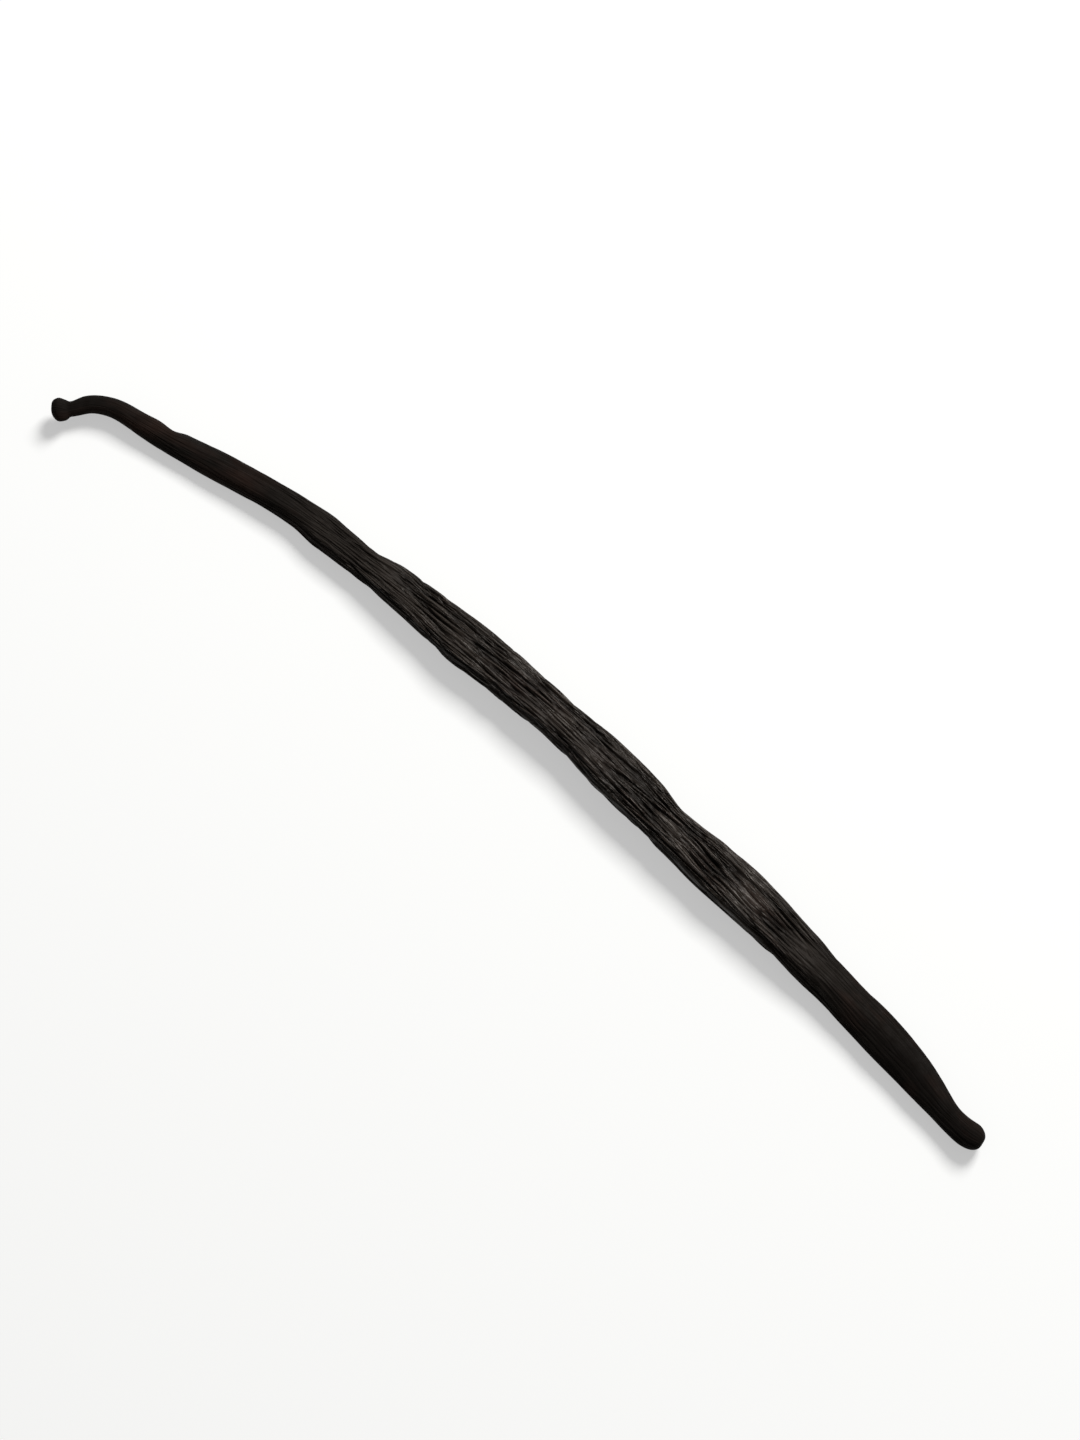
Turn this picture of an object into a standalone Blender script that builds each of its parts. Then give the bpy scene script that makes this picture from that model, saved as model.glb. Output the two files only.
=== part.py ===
"""A cured vanilla pod, one solid: a long, flattened seed pod that lies on its broad side.

The stem end is bent into a shallow hook and ends in a small flared knob with a hollow scar. The body
widens in slow, uneven swellings, carries lengthwise folds, grows a crest towards the blossom end,
and closes in a blunt nub behind a slight neck.

+X runs from the stem end to the blossom end, +Z is up, and the origin is under the middle of the
pod's bounding box, on the surface that it rests on.
"""

import bpy
import numpy as np

MM = 0.001

# All sizes below are in millimetres. "Reach" is the distance along the pod from its stem scar.

# The centre line seen from above: along the pod, and aside to its left.
SPINE = (
    (0.0, -0.6), (1.2, 0.35), (2.3, 1.55), (4.0, 3.8), (6.6, 5.45), (10.5, 6.4),  # hooked stem
    (18, 7.5), (30, 9.6), (45, 10.8), (62, 11.0), (80, 10.7), (100, 9.4), (125, 7.1),  # bowed body
    (148, 4.1), (160, 2.15), (170, 0.05), (173, -0.22), (174.9, 0.03),  # blossom end, turned back a little
)

# How far the pod stands out to each side of the centre line: reach, then breadth of that half.
LEFT_HALF = (
    (0.0, 1.2), (1.4, 1.6), (2.3, 1.45), (3.0, 1.1), (5.4, 1.45), (11, 1.5),  # knob and stem
    (14, 1.4), (16.5, 1.55), (19, 1.3), (21.5, 1.9), (27.5, 2.2), (33, 2.2),  # notch and shoulder
    (42, 2.6), (46.8, 2.75), (50.5, 2.4), (55.5, 2.15), (60, 2.95), (66, 3.2), (79, 3.45), (93, 3.35),
    (100, 3.65), (105, 3.65), (109.8, 3.4), (115.7, 2.5), (119, 2.65), (123.5, 3.25),  # waist
    (131, 3.7), (138, 3.5), (150, 2.85), (157, 3.15), (162, 3.0), (168.5, 2.4), (174, 1.6),
    (176.6, 1.8), (179, 1.3),
)
RIGHT_HALF = (
    (0.0, 0.8), (1.3, 2.1), (2.1, 1.85), (2.8, 1.25), (5.4, 1.25), (11, 1.4),  # knob hangs this way
    (15.5, 1.85), (21, 1.95), (28, 2.2), (37.5, 2.0), (42.5, 1.9), (47.5, 2.6), (56, 2.75), (62, 2.95),
    (68, 3.35), (74.5, 3.95), (80, 3.75), (86, 3.6), (92, 3.0), (97.5, 3.3), (106, 3.9), (124, 4.0),
    (133, 3.6), (145, 3.15), (150, 2.9), (157, 2.9), (166, 2.5), (172, 1.95), (175.5, 1.9), (179, 1.3),
)

# Thickness from the underside to the top, and how high the underside would hang over the rest.
THICKNESS = (
    (0.0, 2.3), (1.1, 2.9), (2.7, 1.9), (8, 2.2), (16, 2.6), (30, 3.2), (50, 3.7), (75, 4.6),
    (105, 4.9), (130, 4.7), (150, 4.1), (166, 3.4), (174, 2.8), (177, 3.0), (179, 2.7),
)
LIFT = ((0.0, 1.6), (6, 1.3), (25, 0.0), (150, 0.0), (172, 0.5), (179, 0.8))
REST_DEPTH = 0.16  # how much of the round underside is pressed flat where the pod rests

# Fullness of the top: 2 is an ellipse, more is a broad flat top, less is a roof with a crest.
TOP_FULLNESS = (
    (0, 2.4), (10, 2.1), (42, 2.4), (60, 3.2), (75, 4.0), (124, 4.0), (136, 2.6), (146, 1.5), (166, 1.25),
    (176, 2.2),
)
UNDER_FULLNESS = 2.2
# How far aside of the centre line the crest runs, as a share of the half breadth.
CREST_ASIDE = (
    (0, 0.0), (38, -0.05), (50, -0.25), (65, -0.6), (80, -0.76), (128, -0.78), (139, -0.6), (148, -0.3),
    (156, 0.0), (168, 0.15),
)

# The ends: over this reach each one rounds off from a full section to its tip.
SCAR_ROUNDING = 0.55
NUB_ROUNDING = 2.0
SCAR_HOLLOW = 0.35  # depth of the hollow in the face of the knob
SCAR_RIM = 0.78  # the hollow's radius as a share of the knob's

# Lengthwise folds: where each starts and ends, its place round the pod at both ends in degrees
# (0 is the left edge, 90 the top, 180 the right edge), its depth, and its breadth in degrees.
FOLDS = (
    (24, 62, 62, 74, 0.10, 15),
    (46, 98, 118, 132, 0.13, 15),
    (60, 108, 50, 42, 0.15, 14),
    (66, 122, 86, 98, 0.12, 14),
    (96, 150, 62, 70, 0.16, 14),
    (98, 144, 150, 156, 0.18, 16),
    (112, 146, 112, 122, 0.12, 15),
    (128, 168, 30, 34, 0.14, 15),
    (30, 90, 176, 184, 0.20, 17),
    (40, 120, 350, 358, 0.24, 17),
    (90, 166, 200, 206, 0.20, 17),
    (52, 150, 322, 314, 0.16, 17),
    (36, 140, 232, 226, 0.16, 17),
)
FOLD_RUN_OUT = 7.0  # a fold fades in and out over this reach

RINGS = 88
END_RINGS = 6
POINTS_ROUND = 40
END_CROWDING = 0.78  # 0 spaces the rings evenly, near 1 crowds them at the two ends

SKIN_COLOUR = (0.0159, 0.0130, 0.0109)
SKIN_ROUGHNESS = 0.5


def steady_slopes(knots, values):
    """A slope for each station that keeps the curve from overshooting: level at peaks and dips, and
    elsewhere the harmonic mean of the slopes on both sides."""
    steps = np.diff(values) / np.diff(knots)
    before, after = steps[:-1], steps[1:]
    climbing = before * after > 0
    inner = np.where(climbing, 2 * before * after / np.where(climbing, before + after, 1), 0)
    return np.concatenate([steps[:1], inner, steps[-1:]])


def flowing_slopes(knots, values):
    """A slope for each station from its neighbours, for a curve that bends as evenly as it can."""
    return np.gradient(values, knots)


def smooth(stations, reach, slopes_of=steady_slopes):
    """The stations' values along a smooth curve of one cubic between each two stations."""
    knots, values = np.array(stations, float).T
    slopes = slopes_of(knots, values)
    first = np.clip(np.searchsorted(knots, reach) - 1, 0, len(knots) - 2)
    gap = knots[first + 1] - knots[first]
    part = np.clip((reach - knots[first]) / gap, 0, 1)
    from_start = values[first] * (1 + 2 * part) + slopes[first] * gap * part
    from_end = values[first + 1] * (3 - 2 * part) + slopes[first + 1] * gap * (part - 1)
    return from_start * (1 - part) ** 2 + from_end * part**2


def spine_curve():
    """The centre line as closely spaced points, with the reach of each."""
    points = np.array(SPINE, float)
    chords = np.append(0, np.cumsum(np.hypot(*np.diff(points, axis=0).T)))
    along = np.linspace(0, chords[-1], 2000)
    routes = [np.stack([chords, points[:, axis]], 1) for axis in (0, 1)]
    curve = np.stack([smooth(route, along, flowing_slopes) for route in routes], 1)
    reach = np.append(0, np.cumsum(np.hypot(*np.diff(curve, axis=0).T)))
    return curve, reach


def end_taper(distance, rounding, bluntness):
    """How much of the section is left near an end: a superellipse from 0 at the tip to 1."""
    inside = 1 - np.clip(distance / rounding, 0, 1)
    return (1 - inside**bluntness) ** (1 / bluntness)


def ring_places(length):
    """The reach of each ring: crowded over both rounded ends, with a slow change of spacing between."""
    turn = np.linspace(0, np.pi / 2, END_RINGS + 1)[1:]
    scar_end = SCAR_ROUNDING * (1 - np.cos(turn))
    nub_end = length - NUB_ROUNDING * (1 - np.cos(turn))
    share = np.linspace(0, 1, RINGS)[1:-1]
    share = share - END_CROWDING * np.sin(2 * np.pi * share) / (2 * np.pi)
    middle = scar_end[-1] + share * (nub_end[-1] - scar_end[-1])
    return np.concatenate([scar_end, middle, nub_end[::-1]])


def fold_depth(reach, angle):
    """Depth of all folds at each point: a rounded groove across each fold's line, faded at its ends."""
    depth = np.zeros(np.broadcast(reach, angle).shape)
    for start, end, first_place, last_place, deepest, breadth in FOLDS:
        part = np.clip((reach - start) / (end - start), 0, 1)
        line = first_place + (last_place - first_place) * part
        line = line + 3 * np.sin(reach / 9 + start)
        off_line = (np.degrees(angle) - line + 180) % 360 - 180
        fade = np.clip((reach - start) / FOLD_RUN_OUT, 0, 1) * np.clip((end - reach) / FOLD_RUN_OUT, 0, 1)
        depth = depth + deepest * fade * np.exp(-((off_line / (breadth / 2)) ** 2))
    return depth


def section(reach, angle):
    """Aside and up of the skin from the centre line, for each reach and angle round the pod."""
    across, over = np.cos(angle), np.sin(angle)
    crest = smooth(CREST_ASIDE, reach)
    from_crest = np.abs(across - crest) / (1 - crest * np.where(across > crest, 1, -1))
    half = np.where(across > 0, smooth(LEFT_HALF, reach), smooth(RIGHT_HALF, reach))
    top = np.sqrt(np.clip(1 - np.clip(from_crest, 0, 1) ** smooth(TOP_FULLNESS, reach), 0, 1))
    under = -np.sqrt(np.clip(1 - np.abs(across) ** UNDER_FULLNESS, 0, 1))
    half_thickness = smooth(THICKNESS, reach) / 2
    depth = fold_depth(reach, angle)
    aside = across * half - depth * across
    up = np.where(over >= 0, top, under) * half_thickness - depth * over
    return aside, up


def pod_rings():
    """The skin as rings of points from the scar to the blossom end, in the pod's own frame."""
    curve, curve_reach = spine_curve()
    length = curve_reach[-1]
    reach = ring_places(length)[:, None]
    angle = np.linspace(0, 2 * np.pi, POINTS_ROUND, endpoint=False)[None, :]
    aside, up = section(reach, angle)
    left = end_taper(reach, SCAR_ROUNDING, 2.6) * end_taper(length - reach, NUB_ROUNDING, 3.0)
    centre = np.stack([np.interp(reach, curve_reach, curve[:, axis]) for axis in (0, 1)])
    slopes = np.gradient(curve, curve_reach, axis=0)
    ahead = np.stack([np.interp(reach, curve_reach, slopes[:, axis]) for axis in (0, 1)])
    ahead = ahead / np.hypot(*ahead)
    height = smooth(THICKNESS, reach) / 2 + smooth(LIFT, reach) - REST_DEPTH
    x = centre[0] - ahead[1] * aside * left
    y = centre[1] + ahead[0] * aside * left
    z = np.maximum(height + up * left, 0)
    hollow = SCAR_HOLLOW * np.clip(1 - (left / SCAR_RIM) ** 2, 0, 1) * (reach < SCAR_ROUNDING)
    return np.stack([x + ahead[0] * hollow, y + ahead[1] * hollow, z], -1)


def tube_faces(rings, around):
    """Quads between neighbouring rings, then a fan from each end ring to its pole vertex."""
    ring, place = np.meshgrid(np.arange(rings - 1), np.arange(around), indexing="ij")
    following = (place + 1) % around
    here, beyond = ring * around, (ring + 1) * around
    quads = np.stack([here + place, here + following, beyond + following, beyond + place], -1)
    scar_pole, nub_pole = rings * around, rings * around + 1
    last = (rings - 1) * around
    fans = [(scar_pole, (k + 1) % around, k) for k in range(around)]
    fans += [(nub_pole, last + k, last + (k + 1) % around) for k in range(around)]
    return quads.reshape(-1, 4).tolist() + fans


def skin_material():
    """Oily, nearly black brown skin with a soft waxy gloss."""
    material = bpy.data.materials.new("cured pod skin")
    material.use_nodes = True
    shader = material.node_tree.nodes["Principled BSDF"]
    shader.inputs["Base Color"].default_value = (*SKIN_COLOUR, 1)
    shader.inputs["Roughness"].default_value = SKIN_ROUGHNESS
    shader.inputs["Metallic"].default_value = 0
    return material


def make_pod():
    """The whole pod as one closed mesh object, its box centred over the origin."""
    grid = pod_rings()
    rings, around = grid.shape[:2]
    poles = np.stack([grid[0].mean(axis=0), grid[-1].mean(axis=0)])
    points = np.concatenate([grid.reshape(-1, 3), poles])
    middle = (points.min(axis=0) + points.max(axis=0)) / 2
    points[:, :2] -= middle[:2]
    mesh = bpy.data.meshes.new("vanilla_pod")
    mesh.from_pydata((points * MM).tolist(), [], tube_faces(rings, around))
    mesh.validate()
    mesh.shade_smooth()
    mesh.materials.append(skin_material())
    pod = bpy.data.objects.new("vanilla_pod", mesh)
    bpy.context.scene.collection.objects.link(pod)
    return pod


def main():
    for leftover in list(bpy.data.objects):
        bpy.data.objects.remove(leftover, do_unlink=True)
    make_pod()


if __name__ == "__main__":
    main()
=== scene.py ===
"""The looks of a cured vanilla pod, laid out as a Blender add-on and run as a script.

The pod's skin is one closed surface round a bowed centre line. It has the same swellings, folds,
knob and nub as the solid in the frame, and the fine wrinkles that a pod gets as it dries.
All shapes are worked out in millimetres, and turned into metres when the mesh is made.
"""

import math

import bpy
import numpy as np
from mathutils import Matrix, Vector


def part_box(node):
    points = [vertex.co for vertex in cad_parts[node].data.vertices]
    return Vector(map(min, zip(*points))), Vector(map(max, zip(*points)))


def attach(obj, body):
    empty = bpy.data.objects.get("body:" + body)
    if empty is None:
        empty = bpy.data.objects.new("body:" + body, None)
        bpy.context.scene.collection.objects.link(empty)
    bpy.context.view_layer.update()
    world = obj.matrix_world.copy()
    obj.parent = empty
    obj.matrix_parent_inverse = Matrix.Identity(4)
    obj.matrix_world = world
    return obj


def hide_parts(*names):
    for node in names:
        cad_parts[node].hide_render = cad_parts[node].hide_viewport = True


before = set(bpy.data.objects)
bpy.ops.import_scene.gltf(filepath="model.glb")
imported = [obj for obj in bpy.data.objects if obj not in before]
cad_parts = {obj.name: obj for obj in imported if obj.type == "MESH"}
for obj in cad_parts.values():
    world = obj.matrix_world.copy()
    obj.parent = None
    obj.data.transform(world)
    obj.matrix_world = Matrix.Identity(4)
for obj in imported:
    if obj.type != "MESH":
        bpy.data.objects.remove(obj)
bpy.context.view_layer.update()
POD_BOX = [np.array(corner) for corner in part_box("vanilla_pod")]

bl_info = {
    "name": "Cured vanilla pod",
    "version": (1, 0, 0),
    "blender": (4, 5, 0),
    "location": "3D View > Sidebar > Pod",
    "description": "Makes the wrinkled skin of a vanilla pod, its finish, and a plain studio",
    "category": "Add Mesh",
}

MM = 0.001

# Stations of the pod's form, as in the solid. "Reach" is the distance along the pod from its scar.
SPINE = (
    (0.0, -0.6), (1.2, 0.35), (2.3, 1.55), (4.0, 3.8), (6.6, 5.45), (10.5, 6.4),  # hooked stem
    (18, 7.5), (30, 9.6), (45, 10.8), (62, 11.0), (80, 10.7), (100, 9.4), (125, 7.1),  # bowed body
    (148, 4.1), (160, 2.15), (170, 0.05), (173, -0.22), (174.9, 0.03),  # blossom end, turned back a little
)
LEFT_HALF = (
    (0.0, 1.2), (1.4, 1.6), (2.3, 1.45), (3.0, 1.1), (5.4, 1.45), (11, 1.5),  # knob and stem
    (14, 1.4), (16.5, 1.55), (19, 1.3), (21.5, 1.9), (27.5, 2.2), (33, 2.2),  # notch and shoulder
    (42, 2.6), (46.8, 2.75), (50.5, 2.4), (55.5, 2.15), (60, 2.95), (66, 3.2), (79, 3.45), (93, 3.35),
    (100, 3.65), (105, 3.65), (109.8, 3.4), (115.7, 2.5), (119, 2.65), (123.5, 3.25),  # waist
    (131, 3.7), (138, 3.5), (150, 2.85), (157, 3.15), (162, 3.0), (168.5, 2.4), (174, 1.6),
    (176.6, 1.8), (179, 1.3),
)
RIGHT_HALF = (
    (0.0, 0.8), (1.3, 2.1), (2.1, 1.85), (2.8, 1.25), (5.4, 1.25), (11, 1.4),  # knob hangs this way
    (15.5, 1.85), (21, 1.95), (28, 2.2), (37.5, 2.0), (42.5, 1.9), (47.5, 2.6), (56, 2.75), (62, 2.95),
    (68, 3.35), (74.5, 3.95), (80, 3.75), (86, 3.6), (92, 3.0), (97.5, 3.3), (106, 3.9), (124, 4.0),
    (133, 3.6), (145, 3.15), (150, 2.9), (157, 2.9), (166, 2.5), (172, 1.95), (175.5, 1.9), (179, 1.3),
)
THICKNESS = (
    (0.0, 2.3), (1.1, 2.9), (2.7, 1.9), (8, 2.2), (16, 2.6), (30, 3.2), (50, 3.7), (75, 4.6),
    (105, 4.9), (130, 4.7), (150, 4.1), (166, 3.4), (174, 2.8), (177, 3.0), (179, 2.7),
)
LIFT = ((0.0, 1.6), (6, 1.3), (25, 0.0), (150, 0.0), (172, 0.5), (179, 0.8))
REST_DEPTH = 0.16
TOP_FULLNESS = (
    (0, 2.4), (10, 2.1), (42, 2.4), (60, 3.2), (75, 4.0), (124, 4.0), (136, 2.6), (146, 1.5), (166, 1.25),
    (176, 2.2),
)
UNDER_FULLNESS = 2.2
CREST_ASIDE = (
    (0, 0.0), (38, -0.05), (50, -0.25), (65, -0.6), (80, -0.76), (128, -0.78), (139, -0.6), (148, -0.3),
    (156, 0.0), (168, 0.15),
)
SCAR_ROUNDING = 0.55
NUB_ROUNDING = 2.0
SCAR_HOLLOW = 0.35
SCAR_RIM = 0.78

# Lengthwise folds: start and end, place round the pod at both in degrees, depth, breadth in degrees.
FOLDS = (
    (24, 62, 62, 74, 0.10, 15),
    (46, 98, 118, 132, 0.13, 15),
    (60, 108, 50, 42, 0.15, 14),
    (66, 122, 86, 98, 0.12, 14),
    (96, 150, 62, 70, 0.16, 14),
    (98, 144, 150, 156, 0.18, 16),
    (112, 146, 112, 122, 0.12, 15),
    (128, 168, 30, 34, 0.14, 15),
    (30, 90, 176, 184, 0.20, 17),
    (40, 120, 350, 358, 0.24, 17),
    (90, 166, 200, 206, 0.20, 17),
    (52, 150, 322, 314, 0.16, 17),
    (36, 140, 232, 226, 0.16, 17),
)
FOLD_RUN_OUT = 7.0

# How strongly the skin is wrinkled along the pod: smooth stem, deeply wrinkled body, smoother end.
WRINKLING = (
    (0, 0.10), (14, 0.12), (30, 0.18), (42, 0.35), (50, 0.6), (62, 0.95), (75, 1.0), (125, 1.0),
    (138, 0.8), (148, 0.4), (158, 0.2), (179, 0.12),
)

# How pale the skin is along the pod: the smooth stem and the nub are nearly black.
PALENESS = (
    (0, 0.0), (36, 0.05), (50, 0.45), (66, 0.95), (75, 1.0), (128, 1.0), (141, 0.6), (150, 0.15),
    (162, 0.0),
)

# Wrinkles: how many lie round the pod, their length, their depth, how broad their grooves are as a
# share of the room between two of them, and a seed that sets their places.
WRINKLE_SETS = (
    (12, 24.0, 0.24, 0.07, 11),
    (22, 14.0, 0.37, 0.09, 23),
    (34, 8.0, 0.22, 0.10, 37),
)

WRINKLE_WANDER = 0.9  # how many places round the pod a wrinkle may drift over its length
WRINKLE_SHIVER = 0.14  # the same for the short, sharp turns on its way
CREASE_ROUNDING = 0.03  # keeps the bottom of a crease from being a knife cut
PATCHINESS = 1.1  # how much more and less wrinkled the skin is in patches of about a centimetre
SKIN_FULLNESS = 0.14  # the skin stands this far over the solid where it isn't wrinkled
SWELL = 0.12  # height of the slow swellings on top of that
FULL_CREASE_DEPTH = 0.12  # wrinkles this deep or deeper get the full painted shade in their grooves
FULL_FOLD_DEPTH = 0.4  # and folds this deep get the full painted shade

RINGS = 372
END_RINGS = 14
POINTS_ROUND = 248
END_CROWDING = 0.45

BAKE_STRIPS = 3
BAKE_GAP = 0.012

# Patterns in the finish. Cells are noise cells in a millimetre, along the pod and across it.
TINT_CELLS = (0.098, 0.28)
FIBRE_CELLS = (0.35, 2.6)
FIBRE_SHADE = 0.25
BROAD_LINE_CELLS = (0.11, 1.6)
BROAD_LINE_BREADTH = 0.07
THIN_LINE_CELLS = (0.22, 2.8)
THIN_LINE_BREADTH = 0.06
THIN_LINE_SHARE = 0.3
WANDER_CELLS = (0.12, 0.7)
LINE_WANDER = 0.35  # how far a line meanders to each side, in millimetres
FIBRE_RELIEF = 0.03
CREASE_RELIEF = 0.12
GRAIN_RELIEF = 0.02

DRY_DULLNESS = 0.55  # the smooth stem and nub are this much rougher than the oily body
GROOVE_DULLNESS = 0.2

# The stage. The lamp's place is to the right of the view, away from the camera, and up, in metres.
LAMP_PLACE = (0.45, 0.6, 0.75)
LAMP_SIZE = 0.4
LAMP_POWER = 14.7
WORLD_STRENGTH = 0.15
PAPER_LIFT = 0.46  # added to what the eye sees of the paper, but not to the light on the pod
FLOOR_GAP = 0.05 * MM
AIM_ALONG = 0.0043  # the camera looks this far off the pod's middle, as a share of its length
AIM_ASIDE = 0.0132


def linear(colour):
    """An sRGB hex colour such as "#20150e" as linear red, green, blue and an alpha of 1."""
    channels = np.array([int(colour[place:place + 2], 16) for place in (1, 3, 5)]) / 255
    low, high = channels / 12.92, ((channels + 0.055) / 1.055) ** 2.4
    return (*np.where(channels <= 0.04045, low, high).tolist(), 1.0)


def add_node(tree, kind, settings=None, links=None):
    """Adds a node: settings name its own properties or its input sockets, links name input sockets."""
    node = tree.nodes.new(kind)
    for name, value in (settings or {}).items():
        if isinstance(name, str) and hasattr(node, name):
            setattr(node, name, value)
        else:
            node.inputs[name].default_value = value
    for name, source in (links or {}).items():
        tree.links.new(source, node.inputs[name])
    return node


# The pod's form


def steady_slopes(knots, values):
    """A slope for each station that keeps the curve from overshooting: level at peaks and dips, and
    elsewhere the harmonic mean of the slopes on both sides."""
    steps = np.diff(values) / np.diff(knots)
    before, after = steps[:-1], steps[1:]
    climbing = before * after > 0
    inner = np.where(climbing, 2 * before * after / np.where(climbing, before + after, 1), 0)
    return np.concatenate([steps[:1], inner, steps[-1:]])


def flowing_slopes(knots, values):
    """A slope for each station from its neighbours, for a curve that bends as evenly as it can."""
    return np.gradient(values, knots)


def smooth(stations, reach, slopes_of=steady_slopes):
    """The stations' values along a smooth curve of one cubic between each two stations."""
    knots, values = np.array(stations, float).T
    slopes = slopes_of(knots, values)
    first = np.clip(np.searchsorted(knots, reach) - 1, 0, len(knots) - 2)
    gap = knots[first + 1] - knots[first]
    part = np.clip((reach - knots[first]) / gap, 0, 1)
    from_start = values[first] * (1 + 2 * part) + slopes[first] * gap * part
    from_end = values[first + 1] * (3 - 2 * part) + slopes[first + 1] * gap * (part - 1)
    return from_start * (1 - part) ** 2 + from_end * part**2


def spine_curve():
    """The centre line as closely spaced points, with the reach of each."""
    points = np.array(SPINE, float)
    chords = np.append(0, np.cumsum(np.hypot(*np.diff(points, axis=0).T)))
    along = np.linspace(0, chords[-1], 2000)
    routes = [np.stack([chords, points[:, axis]], 1) for axis in (0, 1)]
    curve = np.stack([smooth(route, along, flowing_slopes) for route in routes], 1)
    reach = np.append(0, np.cumsum(np.hypot(*np.diff(curve, axis=0).T)))
    return curve, reach


def end_taper(distance, rounding, bluntness):
    """How much of the section is left near an end: a superellipse from 0 at the tip to 1."""
    inside = 1 - np.clip(distance / rounding, 0, 1)
    return (1 - inside**bluntness) ** (1 / bluntness)


def ring_places(length):
    """The reach of each ring: crowded over both rounded ends, with a slow change of spacing between."""
    turn = np.linspace(0, np.pi / 2, END_RINGS + 1)[1:]
    scar_end = SCAR_ROUNDING * (1 - np.cos(turn))
    nub_end = length - NUB_ROUNDING * (1 - np.cos(turn))
    share = np.linspace(0, 1, RINGS)[1:-1]
    share = share - END_CROWDING * np.sin(2 * np.pi * share) / (2 * np.pi)
    middle = scar_end[-1] + share * (nub_end[-1] - scar_end[-1])
    return np.concatenate([scar_end, middle, nub_end[::-1]])


def fold_depth(reach, angle):
    """Depth of all folds at each point: a rounded groove across each fold's line, faded at its ends."""
    depth = np.zeros(np.broadcast(reach, angle).shape)
    for start, end, first_place, last_place, deepest, breadth in FOLDS:
        part = np.clip((reach - start) / (end - start), 0, 1)
        line = first_place + (last_place - first_place) * part
        line = line + 3 * np.sin(reach / 9 + start)
        off_line = (np.degrees(angle) - line + 180) % 360 - 180
        fade = np.clip((reach - start) / FOLD_RUN_OUT, 0, 1) * np.clip((end - reach) / FOLD_RUN_OUT, 0, 1)
        depth = depth + deepest * fade * np.exp(-((off_line / (breadth / 2)) ** 2))
    return depth


def section(reach, angle):
    """Aside and up of the skin from the centre line, for each reach and angle round the pod."""
    across, over = np.cos(angle), np.sin(angle)
    crest = smooth(CREST_ASIDE, reach)
    from_crest = np.abs(across - crest) / (1 - crest * np.where(across > crest, 1, -1))
    half = np.where(across > 0, smooth(LEFT_HALF, reach), smooth(RIGHT_HALF, reach))
    top = np.sqrt(np.clip(1 - np.clip(from_crest, 0, 1) ** smooth(TOP_FULLNESS, reach), 0, 1))
    under = -np.sqrt(np.clip(1 - np.abs(across) ** UNDER_FULLNESS, 0, 1))
    half_thickness = smooth(THICKNESS, reach) / 2
    return across * half, np.where(over >= 0, top, under) * half_thickness


# Wrinkles


def lattice_noise(along, around, cells_round, seed):
    """Gradient noise, about -0.7 to 0.7: each corner of a cell holds a random slope, and a point's
    value blends the four slopes' heights with a curve that is level at the corners. It closes on
    itself after cells_round cells."""
    columns = int(np.ceil(along.max())) + 3
    turn = np.random.default_rng(seed).uniform(0, 2 * np.pi, (columns, cells_round))
    column, row = np.floor(along).astype(int), np.floor(around).astype(int)
    part_along, part_around = along - column, around - row

    def height(step_along, step_around):
        slope = turn[(column + step_along) % columns, (row + step_around) % cells_round]
        return np.cos(slope) * (part_along - step_along) + np.sin(slope) * (part_around - step_around)

    blend_along = part_along**3 * (part_along * (part_along * 6 - 15) + 10)
    blend_around = part_around**3 * (part_around * (part_around * 6 - 15) + 10)
    low = height(0, 0) * (1 - blend_along) + height(1, 0) * blend_along
    high = height(0, 1) * (1 - blend_along) + height(1, 1) * blend_along
    return low * (1 - blend_around) + high * blend_around


def wrinkle_grooves(reach, angle, count, length, breadth, seed):
    """0 on the skin to 1 in the grooves. The grooves run where stretched noise crosses zero, so they
    part and join round lens-shaped ridges. A slower noise makes them wander."""
    turns = angle / (2 * np.pi)
    wander = lattice_noise(reach / (length * 0.9), turns * 8, 8, seed + 1)
    shiver = lattice_noise(reach / (length * 0.22), turns * count, count, seed + 2)
    around = turns * count + WRINKLE_WANDER * wander + WRINKLE_SHIVER * shiver
    cells = lattice_noise(reach / length + 0.35 * wander, around % count, count, seed)
    return np.exp((CREASE_ROUNDING - np.hypot(cells, CREASE_ROUNDING)) / breadth)


def skin_relief(reach, angle, wrinkle_depth):
    """How deep the skin lies under the smooth form, in millimetres, how creased it is there, 0 to 1,
    which the finish paints dark as shade, and how strongly wrinkled the skin is round about."""
    strength = smooth(WRINKLING, reach) * wrinkle_depth
    patches = lattice_noise(reach / 9 + 3, angle / (2 * np.pi) * 5, 5, 5)
    strength = strength * np.clip(1 + PATCHINESS * patches, 0.35, 1.5)
    depth = np.zeros(np.broadcast(reach, angle).shape)
    crease_shade = np.zeros_like(depth)
    for count, length, deepest, breadth, seed in WRINKLE_SETS:
        grooves = wrinkle_grooves(reach, angle, count, length, breadth, seed)
        depth = depth + deepest * strength * grooves
        # Painted shade: deep, strongly wrinkled grooves and the folds are painted dark by this mask, in
        # place of their shadow.
        shade = np.clip(strength, 0, 1) * min(1, deepest / FULL_CREASE_DEPTH)
        crease_shade = np.maximum(crease_shade, grooves * shade)
    folds = fold_depth(reach, angle)
    depth = depth + folds
    crease_shade = np.clip(np.maximum(crease_shade, folds / FULL_FOLD_DEPTH), 0, 1)
    swell = lattice_noise(reach / 6 + 1, angle / (2 * np.pi) * 7, 7, 3) * SWELL
    return depth - (swell + SKIN_FULLNESS) * np.clip(reach / 12, 0, 1), crease_shade, strength


def outward(grid):
    """Unit normals of a grid of points that closes on itself round the pod: the cross product of
    the steps to the neighbours round it and along it."""
    along = np.gradient(grid, axis=0)
    around = np.roll(grid, -1, axis=1) - np.roll(grid, 1, axis=1)
    normal = np.cross(around, along)
    return normal / np.maximum(np.linalg.norm(normal, axis=-1, keepdims=True), 1e-9)


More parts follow.
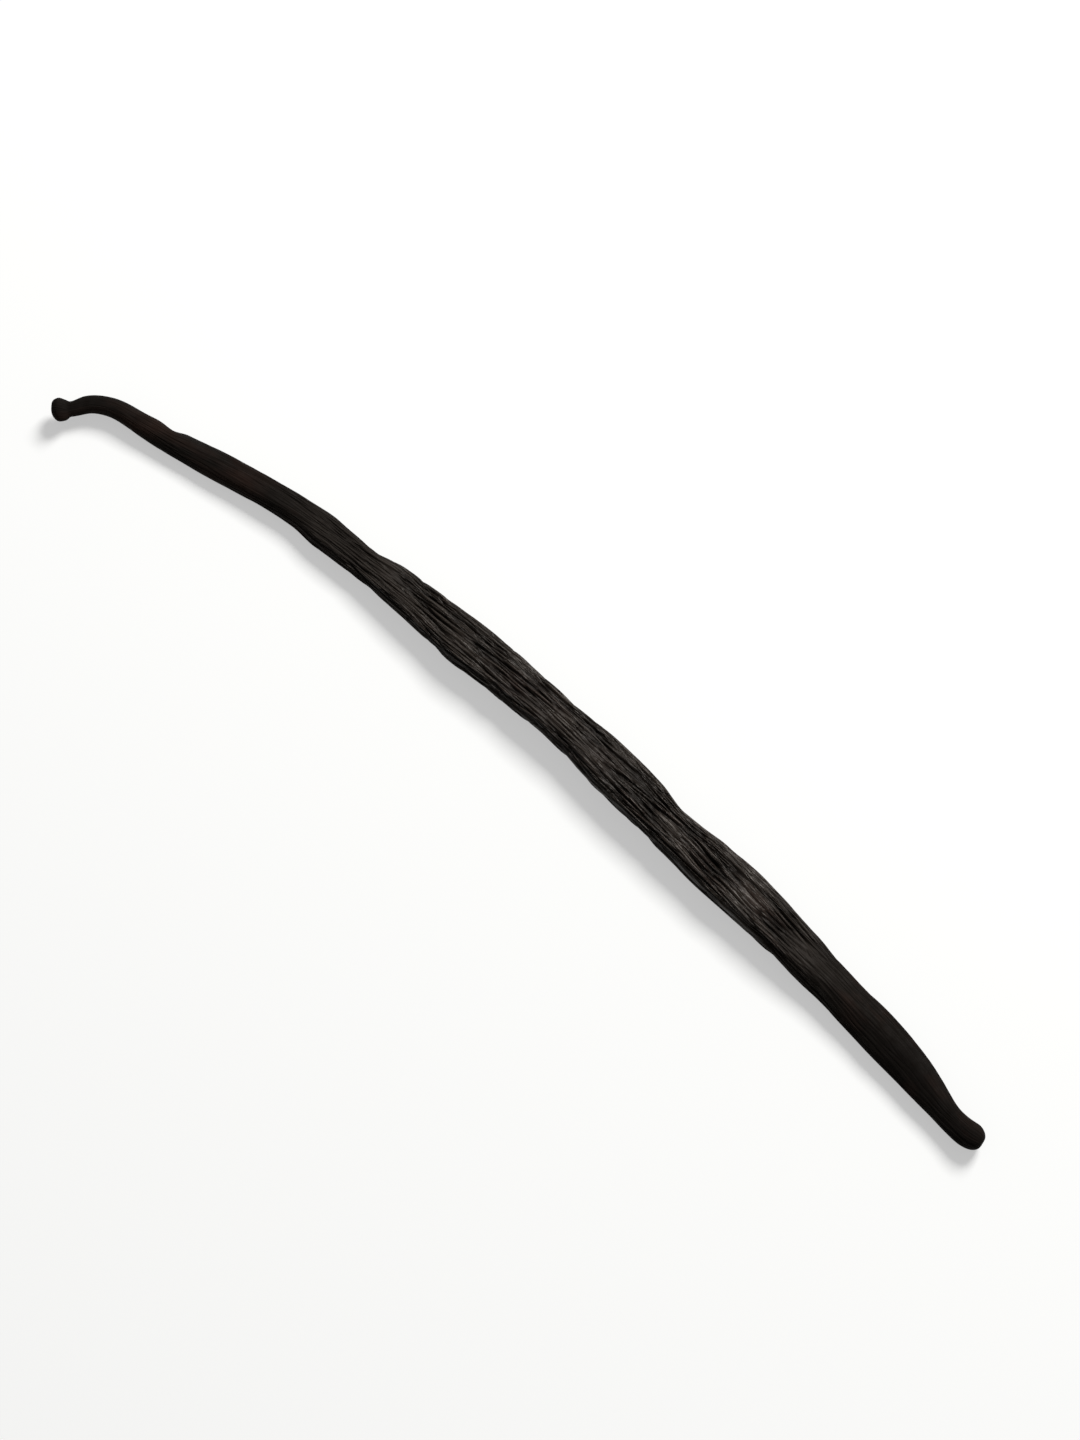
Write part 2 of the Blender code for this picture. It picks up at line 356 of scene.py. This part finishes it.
def skin_grid(wrinkle_depth):
    """The skin's rings of points in millimetres, then for each point its place on the straightened
    pod, how creased it is there as a mask for painted shade, how wrinkled it is there, and how pale."""
    curve, curve_reach = spine_curve()
    length = curve_reach[-1]
    reach = ring_places(length)[:, None]
    angle = np.linspace(0, 2 * np.pi, POINTS_ROUND, endpoint=False)[None, :]
    aside, up = section(reach, angle)
    left = end_taper(reach, SCAR_ROUNDING, 2.6) * end_taper(length - reach, NUB_ROUNDING, 3.0)
    centre = np.stack([np.interp(reach, curve_reach, curve[:, axis]) for axis in (0, 1)])
    slopes = np.gradient(curve, curve_reach, axis=0)
    ahead = np.stack([np.interp(reach, curve_reach, slopes[:, axis]) for axis in (0, 1)])
    ahead = ahead / np.hypot(*ahead)
    height = smooth(THICKNESS, reach) / 2 + smooth(LIFT, reach) - REST_DEPTH
    hollow = SCAR_HOLLOW * np.clip(1 - (left / SCAR_RIM) ** 2, 0, 1) * (reach < SCAR_ROUNDING)
    x = centre[0] - ahead[1] * aside * left + ahead[0] * hollow
    y = centre[1] + ahead[0] * aside * left + ahead[1] * hollow
    z = height + up * left
    grid = np.stack([x, y, z], -1)
    depth, crease_shade, wrinkled = skin_relief(reach, angle, wrinkle_depth)
    grid = grid - outward(grid) * (depth * np.clip(left, 0, 1) ** 2)[..., None]
    grid[..., 2] = np.maximum(grid[..., 2], 0)
    straight = np.stack([reach + 0 * angle, aside * left, up * left], -1)
    pale = smooth(PALENESS, reach) + 0 * angle
    return grid, straight, {"crease_shade": crease_shade, "wrinkled": wrinkled, "pale": pale}


def tube_faces(rings, around):
    """Quads between neighbouring rings, then a fan from each end ring to its pole."""
    ring, place = np.meshgrid(np.arange(rings - 1), np.arange(around), indexing="ij")
    following = (place + 1) % around
    here, beyond = ring * around, (ring + 1) * around
    quads = np.stack([here + place, here + following, beyond + following, beyond + place], -1)
    places = np.arange(around)
    after = (places + 1) % around
    last = (rings - 1) * around
    scar_fan = np.stack([np.full(around, rings * around), after, places], -1)
    nub_fan = np.stack([np.full(around, rings * around + 1), last + places, last + after], -1)
    return quads.reshape(-1, 4), np.concatenate([scar_fan, nub_fan])


def bake_places(grid):
    """Unwrapped place of each face corner: the skin is slit along one side and cut across into
    strips of equal length, which lie above each other in the unit square."""
    rings, around = grid.shape[:2]
    steps = np.linalg.norm(np.diff(grid, axis=0), axis=-1).mean(axis=1)
    along = np.append(0, np.cumsum(steps)) / steps.sum()
    strip_of_face = np.minimum((along[:-1] * BAKE_STRIPS).astype(int), BAKE_STRIPS - 1)
    first_ring = np.array([np.argmax(strip_of_face == strip) for strip in range(BAKE_STRIPS)])
    last_ring = np.append(first_ring[1:], rings - 1)
    longest = (along[last_ring] - along[first_ring]).max()
    ring, place = np.meshgrid(np.arange(rings - 1), np.arange(around), indexing="ij")
    strip = strip_of_face[ring]
    corners = []
    for ring_step, place_step in ((0, 0), (0, 1), (1, 1), (1, 0)):
        share = (along[ring + ring_step] - along[first_ring[strip]]) / longest
        turn = (place + place_step) / around
        across = BAKE_GAP + share * (1 - 2 * BAKE_GAP)
        upward = (strip + BAKE_GAP + turn * (1 - 2 * BAKE_GAP)) / BAKE_STRIPS
        corners.append(np.stack([across, upward], -1))
    quads = np.stack(corners, 2).reshape(-1, 2)
    turn = np.arange(around) / around
    fans = []
    for ring_end, side in ((0, -0.4), (BAKE_STRIPS - 1, 0.4)):
        edge = BAKE_GAP if ring_end == 0 else BAKE_GAP + (1 - 2 * BAKE_GAP) * (
            (along[-1] - along[first_ring[-1]]) / longest)
        rows = [(ring_end + BAKE_GAP + (turn + step) * (1 - 2 * BAKE_GAP)) / BAKE_STRIPS
                for step in (0, 1 / around)]
        rows = rows[::-1] if ring_end == 0 else rows
        pole = np.stack([np.full(around, edge + side * BAKE_GAP), (rows[0] + rows[1]) / 2], -1)
        rim = [np.stack([np.full(around, edge), row], -1) for row in rows]
        fans.append(np.stack([pole, *rim], 1).reshape(-1, 2))
    return np.concatenate([quads, *fans])


def make_skin_mesh(settings):
    """The skin as a mesh, with its painted-shade crease mask and straightened place kept as attributes."""
    grid, straight, shares = skin_grid(settings.wrinkle_depth)
    rings, around = grid.shape[:2]
    poles = np.stack([grid[0].mean(axis=0), grid[-1].mean(axis=0)])
    points = np.concatenate([grid.reshape(-1, 3), poles])
    straight = np.concatenate([straight.reshape(-1, 3), straight[[0, -1]].mean(axis=1)])
    curve_box = (grid.reshape(-1, 3).min(axis=0) + grid.reshape(-1, 3).max(axis=0)) / 2
    pod_middle = (POD_BOX[0] + POD_BOX[1]) / 2
    points = points * MM
    points[:, :2] += pod_middle[:2] - curve_box[:2] * MM
    points[:, 2] += POD_BOX[0][2]
    quads, fans = tube_faces(rings, around)
    mesh = bpy.data.meshes.new("pod_skin")
    mesh.from_pydata(points, [], quads.tolist() + fans.tolist())
    mesh.polygons.foreach_set("use_smooth", np.ones(len(mesh.polygons), bool))
    unwrapped = mesh.uv_layers.new(name="OFBake")
    unwrapped.data.foreach_set("uv", bake_places(grid).astype(np.float32).ravel())
    for name, share in shares.items():
        with_poles = np.concatenate([share.ravel(), share[[0, -1]].mean(axis=1)])
        mesh.attributes.new(name, "FLOAT", "POINT").data.foreach_set("value", with_poles.astype(np.float32))
    place = mesh.attributes.new("straightened", "FLOAT_VECTOR", "POINT")
    place.data.foreach_set("vector", straight.astype(np.float32).ravel())
    mesh.update()
    return mesh


# Finishes


def stretched(tree, place, cells):
    """The place on the pod in noise cells, of which there are more in a millimetre across than along."""
    along, across = cells
    mapping = add_node(tree, "ShaderNodeMapping", {"Scale": (along, across, across)}, {"Vector": place})
    return mapping.outputs["Vector"]


def crease_lines(tree, place, wander, cells, half_breadth):
    """Crease lines along the pod, 0 to 1, painted dark as shade and bumped: they run where stretched noise
    passes its middle value.
    """
    across = cells[1]
    moved = add_node(tree, "ShaderNodeVectorMath", {"operation": "MULTIPLY_ADD", 1: (0, across, across)},
                     {0: wander, 2: stretched(tree, place, cells)})
    noise = add_node(tree, "ShaderNodeTexNoise", {"Scale": 1.0, "Detail": 1.0, "Roughness": 0.5},
                     {"Vector": moved.outputs["Vector"]})
    off_middle = add_node(tree, "ShaderNodeMath", {"operation": "SUBTRACT", 1: 0.5},
                          {0: noise.outputs["Fac"]})
    distance = add_node(tree, "ShaderNodeMath", {"operation": "ABSOLUTE"},
                        {0: off_middle.outputs["Value"]})
    lines = add_node(tree, "ShaderNodeMapRange",
                     {"interpolation_type": "SMOOTHSTEP", "From Max": half_breadth, "To Min": 1.0,
                      "To Max": 0.0}, {"Value": distance.outputs["Value"]})
    return lines.outputs["Result"]


def cured_skin(settings):
    """Cured pod skin: sweated and dried until it is leathery, oily and nearly black. The lamp gives broad,
    soft greyish lights on the ridges, the grooves are painted black as shade, and there is a hint of red
    brown in places."""
    material = bpy.data.materials.new("oily cured pod skin")
    material.use_nodes = True
    tree = material.node_tree
    tree.nodes.clear()
    place = add_node(tree, "ShaderNodeAttribute", {"attribute_name": "straightened"}).outputs["Vector"]
    crease_shade, wrinkled, pale = [
        add_node(tree, "ShaderNodeAttribute", {"attribute_name": name}).outputs["Fac"]
        for name in ("crease_shade", "wrinkled", "pale")]

    # Tints drift over a centimetre or so, and are drawn out along the pod.
    tint = add_node(tree, "ShaderNodeTexNoise", {"Scale": 1.0, "Detail": 3, "Roughness": 0.55},
                    {"Vector": stretched(tree, place, TINT_CELLS)})
    tint_share = add_node(tree, "ShaderNodeMapRange",
                          {"From Min": 0.5, "From Max": 0.72, "To Min": 0.0, "To Max": 0.5},
                          {"Value": tint.outputs["Fac"]})
    shade = add_node(tree, "ShaderNodeMix",
                     {"data_type": "RGBA", 6: settings.stem_colour, 7: settings.skin_colour}, {0: pale})
    body = add_node(tree, "ShaderNodeMix", {"data_type": "RGBA", 7: settings.tint_colour},
                    {0: tint_share.outputs["Result"], 6: shade.outputs[2]})

    # Fine streaks follow the fibres under the skin: 0.4 mm across and some 3 mm long.
    fibres = add_node(tree, "ShaderNodeTexNoise", {"Scale": 1.0, "Detail": 4, "Roughness": 0.6},
                      {"Vector": stretched(tree, place, FIBRE_CELLS)})
    streaked = add_node(tree, "ShaderNodeMix",
                        {"data_type": "RGBA", "blend_type": "MULTIPLY", 0: FIBRE_SHADE},
                        {6: body.outputs[2], 7: fibres.outputs["Fac"]})

    # Fine creases between the modelled wrinkles, bumped in and painted dark as shade. They meander by a
    # fraction of a millimetre.
    slow = add_node(tree, "ShaderNodeTexNoise", {"Scale": 1.0, "Detail": 2},
                    {"Vector": stretched(tree, place, WANDER_CELLS)})
    wander = add_node(tree, "ShaderNodeVectorMath",
                      {"operation": "MULTIPLY_ADD", 1: (0, 2 * LINE_WANDER, 2 * LINE_WANDER),
                       2: (0, -LINE_WANDER, -LINE_WANDER)}, {0: slow.outputs["Color"]}).outputs["Vector"]
    broad_lines = crease_lines(tree, place, wander, BROAD_LINE_CELLS, BROAD_LINE_BREADTH)
    thin_lines = crease_lines(tree, place, wander, THIN_LINE_CELLS, THIN_LINE_BREADTH)
    some = add_node(tree, "ShaderNodeMath", {"operation": "MULTIPLY", 1: THIN_LINE_SHARE}, {0: thin_lines})
    lines = add_node(tree, "ShaderNodeMath", {"operation": "MAXIMUM"},
                     {0: broad_lines, 1: some.outputs["Value"]})
    fine = add_node(tree, "ShaderNodeMath", {"operation": "MULTIPLY", "use_clamp": True},
                    {0: lines.outputs["Value"], 1: wrinkled})
    # Painted shade: the fine and the modelled creases darken the colour towards the groove colour, and make
    # it rougher.
    both = add_node(tree, "ShaderNodeMath", {"operation": "MAXIMUM"}, {0: fine.outputs["Value"], 1: crease_shade})
    groove_shade_share = add_node(tree, "ShaderNodeMapRange", {"From Min": 0.25, "From Max": 0.85, "To Max": 0.95},
                            {"Value": both.outputs["Value"]})
    colour = add_node(tree, "ShaderNodeMix", {"data_type": "RGBA", 7: settings.groove_shade_colour},
                      {0: groove_shade_share.outputs["Result"], 6: streaked.outputs[2]})

    # Oil lies unevenly: the skin is glossier where it has been handled, duller in the grooves and
    # towards the stem.
    oil = add_node(tree, "ShaderNodeTexNoise", {"Scale": 0.6, "Detail": 4, "Roughness": 0.6},
                   {"Vector": place})
    dullness = add_node(tree, "ShaderNodeMapRange",
                        {"From Min": 0.3, "From Max": 0.7, "To Min": settings.dullness - 0.08,
                         "To Max": settings.dullness + 0.1}, {"Value": oil.outputs["Fac"]})
    dry_ends = add_node(tree, "ShaderNodeMath",
                        {"operation": "MULTIPLY_ADD", 1: -DRY_DULLNESS, 2: DRY_DULLNESS}, {0: pale})
    duller = add_node(tree, "ShaderNodeMath", {"operation": "ADD"},
                      {0: dullness.outputs["Result"], 1: dry_ends.outputs["Value"]})
    roughness = add_node(tree, "ShaderNodeMath", {"operation": "MULTIPLY_ADD", 1: GROOVE_DULLNESS},
                         {0: both.outputs["Value"], 2: duller.outputs["Value"]})

    grain = add_node(tree, "ShaderNodeTexNoise", {"Scale": 6.0, "Detail": 2}, {"Vector": place})
    fibre_bump = add_node(tree, "ShaderNodeBump", {"Strength": 0.4, "Distance": FIBRE_RELIEF * MM},
                          {"Height": fibres.outputs["Fac"]})
    crease_bump = add_node(tree, "ShaderNodeBump",
                           {"Strength": 1.0, "Distance": CREASE_RELIEF * MM, "invert": True},
                           {"Height": fine.outputs["Value"], "Normal": fibre_bump.outputs["Normal"]})
    bump = add_node(tree, "ShaderNodeBump", {"Strength": 0.35, "Distance": GRAIN_RELIEF * MM},
                    {"Height": grain.outputs["Fac"], "Normal": crease_bump.outputs["Normal"]})
    shader = add_node(tree, "ShaderNodeBsdfPrincipled",
                      {"IOR": 1.45, "Specular IOR Level": 0.16, "Specular Tint": (1.0, 0.93, 0.86, 1.0)},
                      {"Base Color": colour.outputs[2], "Roughness": roughness.outputs["Value"],
                       "Normal": bump.outputs["Normal"]})
    add_node(tree, "ShaderNodeOutputMaterial", links={"Surface": shader.outputs["BSDF"]})
    return material


def studio_paper(settings):
    """Matt white background paper: an even pale ground that shows only the pod's soft shadow."""
    material = bpy.data.materials.new("matt background paper")
    material.use_nodes = True
    tree = material.node_tree
    tree.nodes.clear()
    paper = add_node(tree, "ShaderNodeBsdfDiffuse", {"Color": settings.paper_colour})
    rays = add_node(tree, "ShaderNodeLightPath")
    shiny = add_node(tree, "ShaderNodeMath", {"operation": "MAXIMUM"},
                     {0: rays.outputs["Is Glossy Ray"], 1: rays.outputs["Is Transmission Ray"]})
    seen = add_node(tree, "ShaderNodeMath", {"operation": "MAXIMUM"},
                    {0: rays.outputs["Is Camera Ray"], 1: shiny.outputs["Value"]})
    lift = add_node(tree, "ShaderNodeMath", {"operation": "MULTIPLY", 1: PAPER_LIFT},
                    {0: seen.outputs["Value"]})
    glow = add_node(tree, "ShaderNodeEmission", {"Color": (1, 1, 1, 1)},
                    {"Strength": lift.outputs["Value"]})
    both = add_node(tree, "ShaderNodeAddShader",
                    links={0: paper.outputs["BSDF"], 1: glow.outputs["Emission"]})
    add_node(tree, "ShaderNodeOutputMaterial", links={"Surface": both.outputs["Shader"]})
    return material


# Settings, operators and panel


class PodSettings(bpy.types.PropertyGroup):
    """Finish of the pod's skin."""

    skin_colour: bpy.props.FloatVectorProperty(
        name="Skin", description="Colour of the skin on the ridges", default=linear("#2e2823"),
        subtype="COLOR", size=4, min=0, max=1)
    stem_colour: bpy.props.FloatVectorProperty(
        name="Stem", description="Darker colour of the smooth stem and nub", default=linear("#0b0705"),
        subtype="COLOR", size=4, min=0, max=1)
    tint_colour: bpy.props.FloatVectorProperty(
        name="Tint", description="Redder colour of the skin in places", default=linear("#2b1b15"),
        subtype="COLOR", size=4, min=0, max=1)
    # Painted shade: the colour the grooves are darkened to, standing in for the shadow down in the wrinkles
    # and folds.
    groove_shade_colour: bpy.props.FloatVectorProperty(
        name="Grooves", description="Colour of the skin down in the wrinkles", default=linear("#0a0604"),
        subtype="COLOR", size=4, min=0, max=1)
    dullness: bpy.props.FloatProperty(
        name="Dullness", description="Roughness of the oily skin", default=0.3, min=0.1, max=0.9,
        subtype="FACTOR")
    wrinkle_depth: bpy.props.FloatProperty(
        name="Wrinkling", description="Depth of the wrinkles: 1 is a well cured pod", default=1.0,
        min=0, max=2, subtype="FACTOR")


class StageSettings(bpy.types.PropertyGroup):
    """Floor, lamps and camera."""

    paper_colour: bpy.props.FloatVectorProperty(
        name="Paper", description="Colour of the background paper", default=linear("#bebebc"),
        subtype="COLOR", size=4, min=0, max=1)
    floor_size: bpy.props.FloatProperty(
        name="Floor", description="Side of the square floor", default=6.0, min=0.5, unit="LENGTH")
    camera_height_angle: bpy.props.FloatProperty(
        name="Camera elevation", description="Angle of the camera above the floor",
        default=math.radians(70), subtype="ANGLE")
    pod_slant: bpy.props.FloatProperty(
        name="Pod slant", description="How far the pod's length is turned down to the right on the floor",
        default=math.radians(39.93), subtype="ANGLE")
    view_width: bpy.props.FloatProperty(
        name="View width", description="Width of the view where the pod lies",
        default=0.1563, min=0.01, unit="LENGTH")
    focal_length: bpy.props.FloatProperty(
        name="Focal length", description="Focal length of the lens, in millimetres", default=110, min=20)


class POD_OT_skin(bpy.types.Operator):
    """Makes the pod's wrinkled skin over the solid in the frame"""

    bl_idname = "pod.skin"
    bl_label = "Pod skin"

    def execute(self, context):
        mesh = make_skin_mesh(context.scene.pod_settings)
        mesh.materials.append(cured_skin(context.scene.pod_settings))
        skin = bpy.data.objects.new("pod_skin", mesh)
        context.scene.collection.objects.link(skin)
        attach(skin, "root")
        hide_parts("vanilla_pod")
        return {"FINISHED"}


def make_floor(settings):
    """A square floor just under the pod."""
    half = settings.floor_size / 2
    mesh = bpy.data.meshes.new("studio_floor")
    level = POD_BOX[0][2] - FLOOR_GAP
    corners = [(-half, -half, level), (half, -half, level), (half, half, level), (-half, half, level)]
    mesh.from_pydata(corners, [], [(0, 1, 2, 3)])
    mesh.materials.append(studio_paper(settings))
    floor = bpy.data.objects.new("studio_floor", mesh)
    bpy.context.scene.collection.objects.link(floor)


def point_at(thing, target):
    """Turns a camera or a lamp so that it looks at the target."""
    direction = Vector(target) - thing.location
    thing.rotation_euler = direction.to_track_quat("-Z", "Y").to_euler()


def make_lamp(settings):
    """The one soft lamp: a square softbox over the far right of the view, turned to the pod."""
    slant = settings.pod_slant
    right, away, up = LAMP_PLACE
    across = np.array([math.cos(slant), math.sin(slant), 0])
    ahead = np.array([-math.sin(slant), math.cos(slant), 0])
    lamp_data = bpy.data.lights.new("key_softbox", "AREA")
    lamp_data.shape = "SQUARE"
    lamp_data.size = LAMP_SIZE
    lamp_data.energy = LAMP_POWER
    lamp = bpy.data.objects.new("key_softbox", lamp_data)
    lamp.location = across * right + ahead * away + np.array([0, 0, up])
    bpy.context.scene.collection.objects.link(lamp)
    point_at(lamp, (0, 0, 0))


def make_camera(settings):
    """A long lens that looks down on the pod, turned so that the pod slants across the view."""
    elevation, slant = settings.camera_height_angle, settings.pod_slant
    camera_data = bpy.data.cameras.new("studio_camera")
    camera_data.sensor_fit = "HORIZONTAL"
    camera_data.sensor_width = 36
    camera_data.lens = settings.focal_length
    distance = settings.view_width * settings.focal_length / camera_data.sensor_width
    camera = bpy.data.objects.new("studio_camera", camera_data)
    length = POD_BOX[1][0] - POD_BOX[0][0]
    target = np.array([AIM_ALONG * length, AIM_ASIDE * length, POD_BOX[1][2] / 2])
    back = np.array([math.sin(slant) * math.cos(elevation), -math.cos(slant) * math.cos(elevation),
                     math.sin(elevation)])
    camera.location = target + back * distance
    bpy.context.scene.collection.objects.link(camera)
    point_at(camera, target)
    camera_data.clip_start = 0.01
    bpy.context.scene.camera = camera


class POD_OT_stage(bpy.types.Operator):
    """Makes the floor, the soft studio light and the camera"""

    bl_idname = "pod.stage"
    bl_label = "Stage"

    def execute(self, context):
        settings = context.scene.stage_settings
        make_floor(settings)
        make_lamp(settings)
        world = bpy.data.worlds.new("studio_world")
        world.use_nodes = True
        background = world.node_tree.nodes["Background"]
        background.inputs["Color"].default_value = (1, 1, 1, 1)
        background.inputs["Strength"].default_value = WORLD_STRENGTH
        context.scene.world = world
        make_camera(settings)
        context.scene.view_settings.view_transform = "Standard"
        return {"FINISHED"}


class POD_PT_panel(bpy.types.Panel):
    """Lists what the add-on makes, with its settings"""

    bl_label = "Vanilla pod"
    bl_space_type = "VIEW_3D"
    bl_region_type = "UI"
    bl_category = "Pod"

    def draw(self, context):
        for operator, settings in (("pod.skin", context.scene.pod_settings),
                                   ("pod.stage", context.scene.stage_settings)):
            box = self.layout.box()
            box.operator(operator)
            for name in settings.__annotations__:
                box.prop(settings, name)


CLASSES = (PodSettings, StageSettings, POD_OT_skin, POD_OT_stage, POD_PT_panel)


def register():
    for cls in CLASSES:
        bpy.utils.register_class(cls)
    bpy.types.Scene.pod_settings = bpy.props.PointerProperty(type=PodSettings)
    bpy.types.Scene.stage_settings = bpy.props.PointerProperty(type=StageSettings)


def unregister():
    del bpy.types.Scene.stage_settings
    del bpy.types.Scene.pod_settings
    for cls in reversed(CLASSES):
        bpy.utils.unregister_class(cls)


def main():
    register()
    bpy.ops.pod.skin()
    bpy.ops.pod.stage()
    bpy.context.view_layer.update()


if __name__ == "__main__":
    main()
